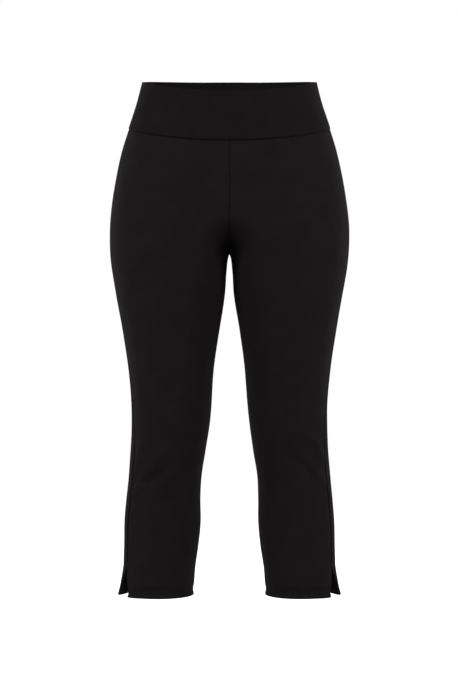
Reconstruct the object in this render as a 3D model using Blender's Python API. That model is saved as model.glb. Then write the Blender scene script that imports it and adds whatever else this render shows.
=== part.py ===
"""Sports leggings: cropped pull-on leggings with a wide contoured waistband and a vent at each outer hem.

They keep the form that they have when worn, hollow and open at the waist and hems, with no wearer. The front looks
towards -Y, the wearer's left is +X and +Z is up. The origin is in the middle of the waistband, half-way up its sides.
Sizes below are in millimetres and angles in degrees, and the meshes are in metres.

An angle round a leg, or round the waist, counts from the front: 0 is the front, 90 the outer side, 180 the back and
-90 or 270 the inseam.
"""

import math
from collections import namedtuple
from functools import lru_cache

import bpy
import numpy as np

MM = 0.001

# Cloth
PANEL_WALL = 1.8
BAND_PROUD = 1.0
BAND_WALL = 2.6
SEAM_GAP = 0.3

BAND_BLACK = (0.011, 0.009, 0.0095)
LEG_BLACK = (0.0105, 0.009, 0.0092)

# Heights
RIM_SIDE_Z = 38.3
BAND_SEAM_SIDE_Z = -38.4
CROTCH_Z = -242.0
VENT_TOP_Z = -748.0
HEM_Z = -794.5

# The rim and the waistband's lower seam both dip at the front: tilt is half the fall from back to front, and dip is
# how far the front and the back both lie under the plane of the sides
RIM_TILT = 23.4
RIM_DIP = 7.8
BAND_SEAM_TILT = 21.0
BAND_SEAM_DIP = 11.5
CONTOUR_FADE = 100.0

# Above the crotch the two legs merge into one body: over this height at the centre front, and at the centre back
FRONT_RISE = 78.0
BACK_RISE = 110.0
RISE_POWER = 1.5

# At the vent the back panel's edge swings out and back, most at the hem
FLARE_OUT = 13.0
FLARE_BACK = 8.5
FLARE_REACH = 60.0
FLARE_POWER = 1.5

# One half of the body, a row for each height: how far the outer side and the foremost point stand from the middle
# plane, how far the front and the back stand from the side, how square the section is (2 is an ellipse) on its outer
# and inner halves, and how far the side seam lies forward of the side. Below the crotch the foremost point is the
# middle of the leg
Section = namedtuple("Section", "place z outer centre front back square inner_square seam_forward")
SECTIONS = (
    Section("rim at the back", 55, 137.4, 18.0, 100, 101, 2.20, 2.2, 0),
    Section("rim at the sides", 38, 140.7, 18.0, 103, 103, 2.20, 2.2, 0),
    Section("middle of the band", 0, 150.4, 20.0, 108, 110, 2.20, 2.2, 0),
    Section("band seam", -38, 163.2, 24.0, 113, 122, 2.20, 2.2, 0),
    Section("belly", -80, 175.6, 32.0, 116, 134, 2.20, 2.3, 0),
    Section("upper hip", -140, 188.0, 52.0, 117, 143, 2.20, 2.6, 0),
    Section("hip", -190, 193.9, 78.0, 115, 142, 2.18, 2.9, 0),
    Section("seat", -220, 194.9, 91.0, 112, 135, 2.16, 3.1, 0),
    Section("crotch", CROTCH_Z, 194.0, 97.1, 109, 127, 2.14, 3.1, 0),
    Section("top of the thigh", -268, 191.2, 97.7, 106, 117, 2.12, 2.8, 0),
    Section("upper thigh", -307, 184.4, 95.9, 102, 107, 2.10, 2.35, 0),
    Section("thigh", -366, 173.4, 95.1, 94, 93, 2.08, 2.1, 4),
    Section("lower thigh", -425, 164.5, 94.9, 86, 80, 2.06, 2.06, 10),
    Section("above the knee", -483, 159.3, 94.4, 78, 68, 2.05, 2.05, 16),
    Section("knee", -522, 158.6, 96.0, 74, 63, 2.05, 2.05, 21),
    Section("below the knee", -561, 160.2, 99.7, 68, 65, 2.05, 2.05, 25),
    Section("top of the calf", -601, 163.2, 104.4, 62, 71, 2.05, 2.05, 25),
    Section("calf", -640, 167.2, 107.4, 58, 74, 2.05, 2.05, 25),
    Section("lower calf", -679, 170.3, 109.0, 56, 73, 2.05, 2.05, 25),
    Section("under the calf", -718, 171.2, 111.3, 55, 70, 2.05, 2.05, 25),
    Section("vent", -757, 172.0, 114.3, 55, 67, 2.05, 2.05, 25),
    Section("hem", -795, 172.0, 115.2, 56, 65, 2.05, 2.05, 25),
)

# The largest soft folds. side is 1 for the wearer's left leg and -1 for the right, slope is how steeply a fold climbs
# towards the outer side, and height is out of the cloth, or into it where it is negative
Fold = namedtuple("Fold", "side angle z slope length width height")
FOLDS = (
    Fold(-1, 20, -596, 26, 80, 20, 2.2),
    Fold(-1, 6, -615, 12, 84, 17, -2.2),
    Fold(1, 2, -606, 14, 56, 18, -1.4),
    Fold(1, 14, -592, 18, 60, 20, 1.2),
    Fold(-1, 176, -516, -8, 92, 20, -2.6),
    Fold(-1, 186, -541, 6, 84, 20, 2.0),
    Fold(-1, 172, -563, 14, 70, 18, -2.0),
    Fold(1, 184, -511, 9, 88, 19, -2.4),
    Fold(1, 174, -535, -4, 96, 21, 2.2),
    Fold(1, 188, -558, -12, 74, 18, -2.2),
    Fold(-1, 168, -292, 16, 110, 24, -2.4),
    Fold(1, 170, -296, 12, 120, 24, -2.2),
)

# Rows of a panel from the waistband to the hem, as (height where the stretch ends, number of steps, power): a power
# over 1 crowds the steps towards the stretch's end
PANEL_TOP_Z = BAND_SEAM_SIDE_Z - SEAM_GAP
STRETCHES = (
    (-110.0, 4, 1.0),
    (CROTCH_Z + FRONT_RISE, 3, 1.0),
    (CROTCH_Z, 7, 2.0),
    (-262.0, 2, 1.0),
    (-470.0, 9, 1.0),
    (-640.0, 15, 1.0),
    (VENT_TOP_Z, 5, 1.0),
    (HEM_Z, 4, 1.0),
)
PANEL_COLUMNS = 11
BAND_ROWS = 4

FRONT_END = -90.0
BACK_END = 270.0
ANGLE_STEP = 1.0
HEIGHT_STEP = 0.5
ARC_STEPS = 90


@lru_cache(maxsize=None)
def section_at(z):
    """The section at height z, each column on a smooth curve through the rows."""
    last = len(SECTIONS) - 1
    z = min(max(z, SECTIONS[last].z), SECTIONS[0].z)
    row = next(i for i in range(last) if z >= SECTIONS[i + 1].z)
    span = SECTIONS[row + 1].z - SECTIONS[row].z
    u = (z - SECTIONS[row].z) / span

    def slope(values, i):
        before, after = max(i - 1, 0), min(i + 1, last)
        return (values[after] - values[before]) / (SECTIONS[after].z - SECTIONS[before].z)

    def on_curve(values):
        start = values[row] * (1 + 2 * u) + slope(values, row) * span * u
        end = values[row + 1] * (3 - 2 * u) - slope(values, row + 1) * span * (1 - u)
        return start * (1 - u) ** 2 + end * u * u

    columns = list(zip(*SECTIONS))[1:]
    return Section(SECTIONS[row].place, *(on_curve(values) for values in columns))


def smooth_step(u):
    u = min(max(u, 0.0), 1.0)
    return u * u * (3 - 2 * u)


def parting(z, rise):
    """How far the legs have parted at height z: 0 where the body is one, 1 at the crotch and below."""
    share = min(max((z - CROTCH_Z) / rise, 0.0), 1.0)
    return (1 - share**RISE_POWER) ** RISE_POWER


def base_point(z, angle):
    """A point of the cloth's smooth outer face on the wearer's left, before folds and flare. On the inner half the
    angle goes to -90 or 270, at the inseam below the crotch and at the middle plane above it."""
    sine, cosine = math.sin(math.radians(angle)), math.cos(math.radians(angle))
    at_front = cosine > 0
    section = section_at(z)
    if sine > 0:
        square = section.square
        x = section.centre + (section.outer - section.centre) * sine ** (2 / square)
        hollow = sine * sine
    else:
        square = section.inner_square
        inner = max(2 * section.centre - section.outer, SEAM_GAP / 2) if z < CROTCH_Z else 0
        x = section.centre - (section.centre - inner) * (-sine) ** (2 / square)
        hollow = sine * sine * parting(z, FRONT_RISE if at_front else BACK_RISE) ** square
    depth = -section.front if at_front else section.back
    return np.array((x, depth * max(1 - hollow, 0.0) ** (1 / square), z))


def base_normal(z, angle, at_front):
    """The outward direction of the smooth face."""
    ahead, behind = angle + ANGLE_STEP, angle - ANGLE_STEP
    if at_front:
        behind = max(behind, FRONT_END)
    else:
        ahead = min(ahead, BACK_END)
    along = base_point(z, ahead) - base_point(z, behind)
    upwards = base_point(z + HEIGHT_STEP, angle) - base_point(z - HEIGHT_STEP, angle)
    normal = np.cross(along, upwards)
    return normal / np.linalg.norm(normal)


def fold_height(z, angle, side):
    """How far the folds lift the cloth here."""
    lift = 0.0
    section = section_at(z)
    for fold in FOLDS:
        if fold.side != side:
            continue
        around = math.radians(angle - fold.angle) * (section.outer - section.centre)
        if fold.angle > 90:
            around = -around
        slope = math.radians(fold.slope)
        rise = z - fold.z
        along = around * math.cos(slope) + rise * math.sin(slope)
        across = rise * math.cos(slope) - around * math.sin(slope)
        lift += fold.height * math.exp(-((2 * along / fold.length) ** 2) - (2 * across / fold.width) ** 2)
    return lift


def flare(z, angle):
    """How far a back panel's vent edge has swung out here."""
    open_share = min(max((VENT_TOP_Z - z) / (VENT_TOP_Z - HEM_Z), 0.0), 1.0)
    edge_share = min(max(1 - (angle - seam_angle(z)) / FLARE_REACH, 0.0), 1.0)
    return np.array((FLARE_OUT, FLARE_BACK, 0)) * open_share * edge_share**FLARE_POWER


def seam_angle(z):
    return 90 - section_at(z).seam_forward


def contour(z, angle, tilt, dip):
    """How far the rim or the band's seam, level with z at the sides, lies over that height at this angle."""
    point = base_point(z, angle)
    towards_front = math.sqrt(max(1 - (point[0] / section_at(z).outer) ** 2, 0))
    if point[1] > 0:
        towards_front = -towards_front
    return -tilt * towards_front - dip * towards_front**2


def panel_levels():
    """The height of each row at the sides."""
    levels = [PANEL_TOP_Z]
    for end, steps, power in STRETCHES:
        start = levels[-1]
        levels += [end + (start - end) * (1 - i / steps) ** power for i in range(1, steps + 1)]
    return levels


@lru_cache(maxsize=None)
def even_angles(z, at_front):
    """Angles at even distances along the cloth at height z, from the side seam to the inseam or the middle plane."""
    end = FRONT_END if at_front else BACK_END
    angles = np.linspace(seam_angle(z), end, ARC_STEPS + 1)
    points = [base_point(z, angle) for angle in angles]
    runs = np.cumsum([0] + [np.linalg.norm(b - a) for a, b in zip(points, points[1:])])
    return np.interp(np.linspace(SEAM_GAP / 2, runs[-1], PANEL_COLUMNS + 1), runs, angles)


def column_angles(z, at_front):
    """The angle of each column. Just above the crotch the columns stay where they are there, so that none runs
    askew as the cloth's end leaves the inseam."""
    above = smooth_step((z - CROTCH_Z) / FRONT_RISE)
    return even_angles(z, at_front) * above + even_angles(min(z, CROTCH_Z), at_front) * (1 - above)


def panel_grids(side, at_front):
    """A leg panel's outer and inner faces, as rows of points."""
    half_gap = SEAM_GAP / 2
    outside, inside = [], []
    for level in panel_levels():
        fade = 1 - smooth_step((PANEL_TOP_Z - level) / CONTOUR_FADE)
        outer_row, inner_row = [], []
        for column, angle in enumerate(column_angles(level, at_front)):
            z = level + fade * contour(level, angle, BAND_SEAM_TILT, BAND_SEAM_DIP)
            point = base_point(z, angle)
            normal = base_normal(z, angle, at_front)
            point += normal * fold_height(z, angle, side)
            if not at_front:
                point += flare(z, angle)
            for row, face_point in ((outer_row, point), (inner_row, point - normal * PANEL_WALL)):
                x, y, z = face_point
                if column == PANEL_COLUMNS:
                    y = min(y, -half_gap) if at_front else max(y, half_gap)
                row.append((side * max(x, half_gap), y, z))
        outside.append(outer_row)
        inside.append(inner_row)
    return outside, inside


def band_grids(at_front):
    """Half of the waistband's outer and inner faces, as rows of points from the left side seam to the right one."""
    angles = column_angles(BAND_SEAM_SIDE_Z, at_front)
    outside, inside = [], []
    for row in range(BAND_ROWS + 1):
        down = row / BAND_ROWS
        level = RIM_SIDE_Z + (BAND_SEAM_SIDE_Z - RIM_SIDE_Z) * down
        tilt = RIM_TILT + (BAND_SEAM_TILT - RIM_TILT) * down
        dip = RIM_DIP + (BAND_SEAM_DIP - RIM_DIP) * down
        outer_row, inner_row = [], []
        for angle in angles:
            z = level + contour(level, angle, tilt, dip)
            point = base_point(z, angle)
            normal = base_normal(z, angle, at_front)
            outer_row.append(tuple(point + normal * BAND_PROUD))
            inner_row.append(tuple(point + normal * (BAND_PROUD - BAND_WALL)))
        outside.append(with_mirror(outer_row))
        inside.append(with_mirror(inner_row))
    return outside, inside


def with_mirror(row):
    """The row of points, which ends at the middle plane, and its mirror image."""
    middle = (0.0, *row[-1][1:])
    return row[:-1] + [middle] + [(-x, y, z) for x, y, z in reversed(row[:-1])]


def turned_over(face):
    """The face seen from its other side, starting at the same corner, so that it splits along the same diagonal."""
    return face[:1] + face[:0:-1]


def wall_mesh(name, outside, inside, flipped):
    """One closed wall between two grids of points. Its outer face's rows run downwards, and its columns clockwise seen
    from above, or anticlockwise where it is flipped."""
    rows, columns = len(outside), len(outside[0])
    points = [[MM * value for value in point] for grid in (outside, inside) for row in grid for point in row]

    def at(layer, row, column):
        return (layer * rows + row) * columns + column

    faces = []
    for layer in (0, 1):
        for r in range(rows - 1):
            for c in range(columns - 1):
                face = [at(layer, r, c + 1), at(layer, r + 1, c + 1), at(layer, r + 1, c), at(layer, r, c)]
                faces.append(turned_over(face) if layer else face)
    border = [(0, c) for c in range(columns)]
    border += [(r, columns - 1) for r in range(1, rows)]
    border += [(rows - 1, c) for c in range(columns - 2, -1, -1)]
    border += [(r, 0) for r in range(rows - 2, 0, -1)]
    for here, there in zip(border, border[1:] + border[:1]):
        faces.append([at(0, *there), at(0, *here), at(1, *here), at(1, *there)])
    if flipped:
        faces = [turned_over(face) for face in faces]
    mesh = bpy.data.meshes.new(name)
    mesh.from_pydata(points, [], faces)
    mesh.shade_smooth()
    mesh.set_sharp_from_angle(angle=math.radians(50))
    return mesh


def jersey(name, colour, roughness):
    """A matt stretch jersey."""
    material = bpy.data.materials.new(name)
    material.use_nodes = True
    shader = material.node_tree.nodes["Principled BSDF"]
    shader.inputs["Base Color"].default_value = (*colour, 1)
    shader.inputs["Roughness"].default_value = roughness
    shader.inputs["Metallic"].default_value = 0
    return material


def add_piece(name, grids, flipped, material, parent):
    mesh = wall_mesh(name, *grids, flipped)
    mesh.materials.append(material)
    piece = bpy.data.objects.new(name, mesh)
    piece.parent = parent
    bpy.context.scene.collection.objects.link(piece)
    return piece


def clear_scene():
    for thing in list(bpy.data.objects):
        bpy.data.objects.remove(thing)


def main():
    clear_scene()
    leggings = bpy.data.objects.new("leggings", None)
    bpy.context.scene.collection.objects.link(leggings)
    for part, at_front in (("front", True), ("back", False)):
        name = f"waistband_{part}"
        add_piece(name, band_grids(at_front), not at_front, jersey(name, BAND_BLACK, 0.8), leggings)
        for leg, side in (("left", 1), ("right", -1)):
            name = f"{part}_{leg}"
            flipped = at_front == (side > 0)
            add_piece(name, panel_grids(side, at_front), not flipped, jersey(name, LEG_BLACK, 0.85), leggings)


main()
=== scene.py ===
"""Sports leggings in black stretch jersey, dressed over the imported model.

Each cut panel and each half of the waistband is a thin shell on the form of its solid, with its seams, hem, vent and
creases. The front looks towards -Y, the wearer's left is +X and +Z is up. The form's own sizes are in millimetres and
its angles in degrees, and everything that goes into Blender is in metres.

An angle round a leg or round the waist is 0 at the front, 90 at the outer side, 180 at the back, and -90 or 270 at the
inseam, or at the middle plane above the crotch.
"""

import math
from collections import namedtuple

import bpy
import numpy as np
from bpy.props import FloatProperty, FloatVectorProperty, PointerProperty
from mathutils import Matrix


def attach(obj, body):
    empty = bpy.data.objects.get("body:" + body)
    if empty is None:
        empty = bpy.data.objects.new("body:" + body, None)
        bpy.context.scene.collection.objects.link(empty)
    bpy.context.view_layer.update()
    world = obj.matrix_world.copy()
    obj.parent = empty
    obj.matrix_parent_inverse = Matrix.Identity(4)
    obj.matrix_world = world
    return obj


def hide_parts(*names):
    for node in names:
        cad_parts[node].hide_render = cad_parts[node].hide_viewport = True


bl_info = {
    "name": "Sports leggings",
    "version": (1, 0, 0),
    "blender": (4, 5, 0),
    "location": "3D View > Sidebar > Leggings",
    "description": "Cropped black sports leggings with a wide waistband and vented hems",
    "category": "Object",
}

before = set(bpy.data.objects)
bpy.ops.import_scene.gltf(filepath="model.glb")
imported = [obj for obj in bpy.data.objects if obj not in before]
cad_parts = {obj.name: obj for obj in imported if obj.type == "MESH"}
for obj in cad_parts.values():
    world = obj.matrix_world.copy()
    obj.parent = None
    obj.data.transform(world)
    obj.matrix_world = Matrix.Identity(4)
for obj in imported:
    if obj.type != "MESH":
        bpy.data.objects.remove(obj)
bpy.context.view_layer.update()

MM = 0.001

# Heights of the form
RIM_SIDE_Z = 38.3
BAND_SEAM_SIDE_Z = -38.4
CROTCH_Z = -242.0
VENT_TOP_Z = -748.0
HEM_Z = -796.4

# The rim and the waistband's lower seam both dip at the front
RIM_TILT, RIM_DIP = 23.4, 7.8
BAND_SEAM_TILT, BAND_SEAM_DIP = 21.0, 11.5
CONTOUR_FADE = 100.0
BAND_PROUD, BAND_GAP = 1.0, 0.1

# The faces of a wall never come closer than this, also at a folded edge
LEAST_WALL = 0.12

# The angles at which a front panel ends, the outer side lies and a back panel ends
FRONT_END, OUTER_SIDE, BACK_END = -90.0, 90.0, 270.0

# Above the crotch the legs merge into one body
FRONT_RISE = 78.0
BACK_RISE = 110.0
RISE_POWER = 1.5

# Towards the crotch the cloth sinks in between the thighs
HOLLOW_DEPTH, HOLLOW_WIDTH, HOLLOW_WIDTH_BELOW = 18.0, 24.0, 14.0
HOLLOW_TOP, HOLLOW_FULL, HOLLOW_END, HOLLOW_END_FADE = -190.0, -230.0, -325.0, 80.0
HOLLOW_WIDEST_Z, HOLLOW_NARROWEST_Z = -230.0, -272.0
HOLLOW_SQUARE, HOLLOW_FRONT_FADE = 2.6, 60.0

# A back panel's vent edge swings out, back and up, and its hem hangs lower behind. A front panel's is drawn in
FLARE_OUT, FLARE_BACK = 15.2, 11.5
FLARE_REACH = 60.0
FLARE_POWER = 1.5
FLARE_UP, FLARE_UP_REACH = 2.1, 16.0
HANG, HANG_FROM_EDGE, HANG_REACH = 2.6, 45.0, 32.0
VENT_DRAWN_IN, VENT_DROP, VENT_DRAWN_REACH = 1.1, 1.4, 40.0

# One half of the body at each height: the outer side and the foremost point from the middle plane, the front and the
# back from the side, how square its outer and inner halves are, and how far the side seam lies forward of the side
Section = namedtuple("Section", "z outer centre front back square inner_square seam_forward")
SECTIONS = (
    (55, 137.4, 18.0, 100, 101, 2.20, 2.2, 0),
    (38, 140.7, 18.0, 103, 103, 2.20, 2.2, 0),
    (0, 150.4, 20.0, 108, 110, 2.20, 2.2, 0),
    (-38, 163.2, 24.0, 113, 122, 2.20, 2.2, 0),
    (-80, 175.6, 32.0, 116, 134, 2.20, 2.3, 0),
    (-140, 188.0, 52.0, 117, 143, 2.20, 2.6, 0),
    (-190, 193.9, 78.0, 115, 142, 2.18, 2.9, 0),
    (-220, 194.9, 91.0, 112, 135, 2.16, 3.1, 0),
    (CROTCH_Z, 194.0, 97.1, 109, 127, 2.14, 3.1, 0),
    (-268, 191.2, 97.7, 106, 117, 2.12, 2.8, 1),
    (-307, 184.7, 95.9, 102, 107, 2.10, 2.35, 3),
    (-366, 173.9, 95.1, 94, 93, 2.08, 2.1, 7.5),
    (-425, 165.1, 94.9, 86, 80, 2.06, 2.06, 14),
    (-483, 160.0, 94.4, 78, 68, 2.05, 2.05, 21),
    (-522, 159.4, 96.0, 74, 63, 2.05, 2.05, 26.5),
    (-561, 160.9, 99.7, 68, 65, 2.05, 2.05, 30),
    (-601, 163.9, 104.4, 62, 71, 2.05, 2.05, 31),
    (-640, 168.0, 107.4, 58, 74, 2.05, 2.05, 30),
    (-679, 171.1, 109.0, 56, 73, 2.05, 2.05, 29),
    (-718, 171.9, 111.3, 55, 70, 2.05, 2.05, 29),
    (-757, 172.7, 114.3, 55, 67, 2.05, 2.05, 29),
    (-795, 172.7, 115.2, 56, 65, 2.05, 2.05, 29),
)

# The largest soft folds: (side, angle, z, slope, length, width, height). The side is 1 for the wearer's left leg and -1
# for the right, the slope climbs towards the outer side, and a height below 0 goes into the cloth
FOLDS = (
    (-1, 21, -584, -54, 64, 16, 2.6),
    (-1, 13, -604, -48, 54, 16, -2.9),
    (1, 41, -553, -55, 62, 15, 2.6),
    (1, 20, -590, -52, 58, 15, -2.8),
    (-1, 176, -516, -8, 92, 20, -2.6),
    (-1, 186, -541, 6, 84, 20, 2.0),
    (-1, 172, -563, 14, 70, 18, -2.0),
    (1, 184, -511, 9, 88, 19, -2.4),
    (1, 174, -535, -4, 96, 21, 2.2),
    (1, 188, -558, -12, 74, 18, -2.2),
    (-1, 168, -292, 16, 110, 24, -2.4),
    (1, 170, -296, 12, 120, 24, -2.2),
)

# Small creases on and between them
CREASES = (
    (-1, 40, -590, -60, 38, 11, -1.3),
    (-1, 38, -610, -12, 40, 9, -1.6),
    (-1, 38, -620, -8, 44, 12, 1.6),
    (-1, 38, -548, -62, 52, 24, 2.0),
    (-1, -12, -596, -64, 60, 20, 1.2),
    (-1, -4, -640, 6, 64, 13, -0.7),
    (1, 42, -600, -46, 46, 13, 1.9),
    (1, 8, -560, -56, 50, 18, 1.4),
    (1, 30, -616, -24, 40, 11, -1.4),
    (1, -10, -632, 10, 56, 13, 0.7),
    (-1, 14, -507, -10, 70, 16, 0.6),
    (1, 8, -498, 12, 64, 15, -0.5),
    (-1, 196, -524, 18, 58, 9, -0.8),
    (-1, 164, -548, -16, 62, 9, 0.7),
    (-1, 180, -577, 4, 76, 11, 0.8),
    (1, 166, -520, -20, 56, 9, -0.7),
    (1, 196, -545, 12, 60, 9, 0.8),
    (1, 178, -572, 8, 72, 11, -0.8),
    (-1, 150, -600, 22, 60, 12, -0.6),
    (1, 206, -596, 16, 54, 12, -0.6),
    (-1, -52, -262, -34, 60, 13, -0.7),
    (-1, -46, -282, -28, 54, 12, 0.5),
    (1, -50, -266, -30, 58, 13, -0.6),
    (1, -58, -288, -24, 48, 12, 0.5),
    (-1, 232, -268, -26, 70, 13, -0.8),
    (1, 236, -272, -22, 66, 13, -0.8),
    (-1, 158, -306, 20, 84, 13, 0.8),
    (1, 162, -312, 14, 80, 13, 0.8),
    (-1, 28, -742, 14, 50, 12, 0.5),
    (1, 16, -736, -12, 46, 12, -0.5),
    (-1, 190, -728, 10, 60, 13, -0.6),
    (1, 176, -734, -8, 56, 13, 0.6),
)

# Slow unevenness of the whole cloth: (wavelengths in mm along x, y and z, shift in degrees, height in mm)
WAVES = (
    (160, 240, 210, 20, 0.16),
    (-120, 170, 150, 140, 0.12),
    (95, -140, 118, 260, 0.09),
    (-210, -110, 84, 75, 0.08),
    (66, 90, -74, 310, 0.05),
)

# How much deeper the grooves of the side seam (a factor) and the waistband's seam (mm) are than the others', how much
# narrower the second is, and how far from the middle seam the cloth faces the middle plane
SIDE_SEAM_DEEPER, BAND_SEAM_DEEPER, BAND_SEAM_NARROWER = 1.5, 0.5, 0.8
MIDDLE_SEAM_REACH = 4.0

# Doubled cloth: how much thicker it is, over which distance it begins, and over which height a vent's edge does
DOUBLED_MORE, DOUBLED_FADE, VENT_FADE = 0.8, 0.8, 3.0

# A seam's turnings: their distances from it, their thickness, and the gap between them and the cloth
TURNING_FROM, TURNING_TO, TURNING_THICKNESS, TURNING_GAP, TURNING_COLUMNS = 0.3, 7.5, 1.5, 0.15, 9

# How much painted shade darkens the cloth beside a seam, in the hollow, over the hem's stitching and inside
SIDE_SEAM_SHADE = 0.85
INNER_SEAM_SHADE = 0.3
BAND_SEAM_SHADE = 0.55
SEAM_SHADE_WIDTH, SIDE_SEAM_SHADE_WIDTH = 1.6, 2.4
HOLLOW_SHADE, HOLLOW_SHADE_SQUARE = 0.6, 4
HOLLOW_SHADE_TOP, HOLLOW_SHADE_TOP_FADE = -208.0, 24.0
HOLLOW_SHADE_END, HOLLOW_SHADE_END_FADE = -300.0, 50.0
HEM_SHADE, HEM_SHADE_WIDTH = 0.08, 5.0
VENT_OUT_OF_SHADE = 20.0
INSIDE_SHADE, BAND_INSIDE_SHADE = 0.45, 0.05

# Distances in mm from an edge at which the cloth's fine rows and columns lie
EDGE_STEPS = (0, 0.2, 0.5, 0.9, 1.4, 2.0, 2.8, 4.0)
SIDE_EDGE_STEPS = EDGE_STEPS + (4.8, 5.2, 5.6, 6.4, 7.0, 7.4, 8.4)
HEM_STEPS = (0, 0.15, 0.4, 0.75, 1.2, 2.0, 3.0, 4.2, 5.6, 7.2, 8.8, 10.4, 12.0, 12.9, 13.4, 13.8, 14.2, 14.7, 15.4)
HEM_STEPS += (16.1, 16.6, 17.0, 17.4, 17.9, 18.7, 19.3, 19.9, 20.6, 22.0, 24.0)
PANEL_COLUMNS, LEAST_COLUMN = 56, 0.25
BAND_ROWS, BAND_COLUMNS = 22, 60

# The rows between them: each run has an end height, a number of rows and a power, above 1 to draw them to its end
ROW_RUNS = (
    (-164.0, 30, 1),
    (CROTCH_Z, 40, 2),
    (-262.0, 8, 1),
    (-470.0, 52, 1),
    (-640.0, 56, 1),
    (VENT_TOP_Z + 4, 26, 1),
    (VENT_TOP_Z - 4, 8, 1),
    (HEM_Z + HEM_STEPS[-1] + 3, 6, 1),
)

# The recess over the hem's turned edge: depth, height, reach above and below it, and its distance from a back panel's
# vent in degrees
HEM_RECESS, HEM_RECESS_UP, HEM_RECESS_ABOVE, HEM_RECESS_BELOW = 1.6, 8.0, 8.5, 4.5
HEM_RECESS_FROM_VENT = 50.0

# Stitching: the hem's lower row and the vent's, by distance from the edge, and their grooves' width and depth
HEM_ROW, HEM_GROOVE_WIDTH, HEM_GROOVE = 13.8, 0.9, 0.35
VENT_ROW, VENT_GROOVE_WIDTH, VENT_GROOVE = 5.2, 0.8, 0.28
HEM_ROW_START, HEM_ROW_END, HEM_ROW_POINTS = 2.0, 1.5, 160
VENT_ROW_TOP, VENT_ROW_BOTTOM, VENT_ROW_POINTS = 1.0, 13.0, 40
BAR_TACK_FROM, BAR_TACK_TO, BAR_TACK_STITCHES, BAR_TACK_REACH, BAR_TACK_LIFT = 1.0, 5.0, 9, 2.6, 0.25

# Rings of thread along one stitch from -1 to 1: (place, girth, height over the cloth), the last two in thread radii
STITCH_START = ((-1.0, 0.15, -1.1), (-0.8, 0.75, -0.4), (-0.3, 1.0, 0.15))
STITCH_RINGS = STITCH_START + tuple((-place, girth, rise) for place, girth, rise in STITCH_START[::-1])
STITCH_SIDES = 6

# The knit's columns and rows of loops, and how high they stand, in metres
Knit = namedtuple("Knit", "wale course depth")
LEG_KNIT = Knit(0.0011, 0.0009, 0.00016)
BAND_KNIT = Knit(0.0010, 0.0008, 0.00014)

# A loop: its legs' slant, least height, painted shade between loops: how height lightens, least shade. Then the nap
LOOP_SLANT, LOOP_LEAST, LOOP_LIGHTER, LOOP_LEAST_SHADE = 0.7, 0.35, 0.35, 0.8
NAP_HEIGHT, NAP_ROUGHNESS = 0.4, 0.12

# How finely the form is measured: places round it, how they draw together, and steps in degrees and mm
ARC_STEPS, ARC_POWER = 240, 0.7
ANGLE_STEP, HEIGHT_STEP = 1.0, 0.5
SHARP_ANGLE = 55.0

# Soft lights that stand on both sides: (name, x, y and z on the left, size), in metres, and the setting of their power
SOFTBOXES = (
    ("high", 1.6, -2.3, 1.3, 1.4, "high_lights"),
    ("front", 2.3, -1.95, 0.7, 1.4, "front_lights"),
    ("side", 2.7, 0, 0.1, 1.4, "side_lights"),
    ("back", 2.0, 2.2, 0.3, 1.2, "rim_lights"),
)
AIM_Z, BACK_AIM_Z, BACK_SIZE = -0.3, -0.2, 2.0


# ---- The form ----


def shape_at(z):
    """The section at each height z, every column on a smooth curve through the rows."""
    rows = np.array(SECTIONS, float)
    heights, values = rows[:, 0], rows[:, 1:]
    z = np.clip(z, heights[-1], heights[0])
    row = np.clip(np.searchsorted(-heights, -z, side="left") - 1, 0, len(heights) - 2)
    before = np.maximum(np.arange(len(heights)) - 1, 0)
    after = np.minimum(np.arange(len(heights)) + 1, len(heights) - 1)
    slopes = (values[after] - values[before]) / (heights[after] - heights[before])[:, None]
    span = (heights[row + 1] - heights[row])[..., None]
    u = (z[..., None] - heights[row][..., None]) / span
    start = values[row] * (1 + 2 * u) + slopes[row] * span * u
    end = values[row + 1] * (3 - 2 * u) - slopes[row + 1] * span * (1 - u)
    return Section(z, *np.moveaxis(start * (1 - u) ** 2 + end * u * u, -1, 0))


def smooth_step(u):
    u = np.clip(u, 0, 1)
    return u * u * (3 - 2 * u)


def hollow_width(z):
    share = smooth_step((HOLLOW_WIDEST_Z - z) / (HOLLOW_WIDEST_Z - HOLLOW_NARROWEST_Z))
    return HOLLOW_WIDTH + (HOLLOW_WIDTH_BELOW - HOLLOW_WIDTH) * share


def base_point(z, angle):
    """Points of the form's smooth outer face on the wearer's left, in mm, before folds and flare."""
    z, angle = np.broadcast_arrays(np.asarray(z, float), np.asarray(angle, float))
    sine, cosine = np.sin(np.radians(angle)), np.cos(np.radians(angle))
    section = shape_at(z)
    outside, at_front = sine > 0, cosine > 0
    bow = np.abs(sine)
    inner = np.where(z < CROTCH_Z, np.maximum(2 * section.centre - section.outer, 0), 0)
    x_out = section.centre + (section.outer - section.centre) * bow ** (2 / section.square)
    x_in = section.centre - (section.centre - inner) * bow ** (2 / section.inner_square)
    rise = np.where(at_front, FRONT_RISE, BACK_RISE)
    parting = (1 - np.clip((z - CROTCH_Z) / rise, 0, 1) ** RISE_POWER) ** RISE_POWER
    hollow = sine**2 * np.where(outside, 1, parting**section.inner_square)
    square = np.where(outside, section.square, section.inner_square)
    y = np.where(at_front, -section.front, section.back) * np.maximum(1 - hollow, 0) ** (1 / square)
    x = np.where(outside, x_out, x_in)
    sunk = smooth_step((HOLLOW_TOP - z) / (HOLLOW_TOP - HOLLOW_FULL)) * smooth_step((z - HOLLOW_END) / HOLLOW_END_FADE)
    sunk = sunk * smooth_step(-y / HOLLOW_FRONT_FADE) * np.exp(-((x / hollow_width(z)) ** HOLLOW_SQUARE))
    return np.stack((x, y + HOLLOW_DEPTH * sunk, z), -1)


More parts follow.
